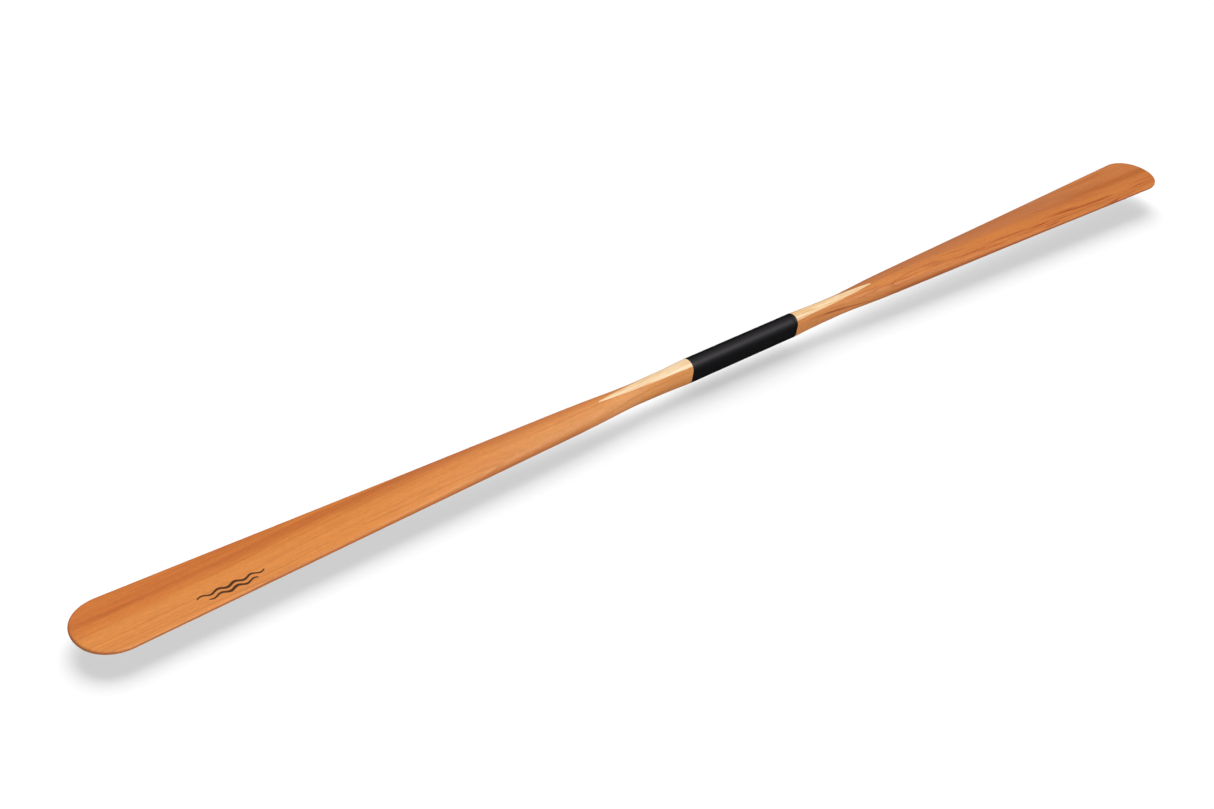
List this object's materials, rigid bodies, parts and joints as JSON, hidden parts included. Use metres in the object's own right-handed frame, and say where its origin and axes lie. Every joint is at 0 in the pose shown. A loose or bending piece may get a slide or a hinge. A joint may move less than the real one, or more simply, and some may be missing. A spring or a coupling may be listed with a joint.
{
  "type": "kayak paddle",
  "caption": "Narrow-bladed wooden kayak paddle in two halves that slide together in an oval carbon ferrule and lock with a spring button.",
  "frame": {"origin": "centre of the whole paddle, on the ferrule's axis, halfway between the two blade tips", "axes": "+X along the paddle towards the half with the male spigot, +Y across the blades, +Z through the blades' thickness"},
  "size_m": [2.1, 0.0922, 0.0398],
  "materials": {
    "cedar": "oiled, satin, straight lengthwise grain",
    "pale_wood": "oiled, satin, fine lengthwise grain",
    "carbon_tube": "satin black carbon fibre and epoxy",
    "black_plastic": "matt moulded",
    "stainless": "brushed stainless steel"
  },
  "bodies": {
    "left_half": {"left_blade_core": "cedar", "left_upper_lamella": "pale_wood", "left_lower_lamella": "pale_wood", "ferrule_sleeve": "carbon_tube"},
    "right_half": {"right_blade_core": "cedar", "right_upper_lamella": "pale_wood", "right_lower_lamella": "pale_wood", "ferrule_collar": "carbon_tube", "ferrule_spigot": "carbon_tube", "spigot_end_plug": "black_plastic", "button_spring": "stainless"},
    "lock_button": {"lock_button": "stainless"}
  },
  "joints": [
    {"name": "ferrule_slide", "type": "slide", "parent": "left_half", "child": "right_half", "axis": [1, 0, 0], "range_m": [0, 0.12]},
    {"name": "button_press", "type": "slide", "parent": "right_half", "child": "lock_button", "axis": [0, 1, 0], "range_m": [0, 0.004]}
  ]
}
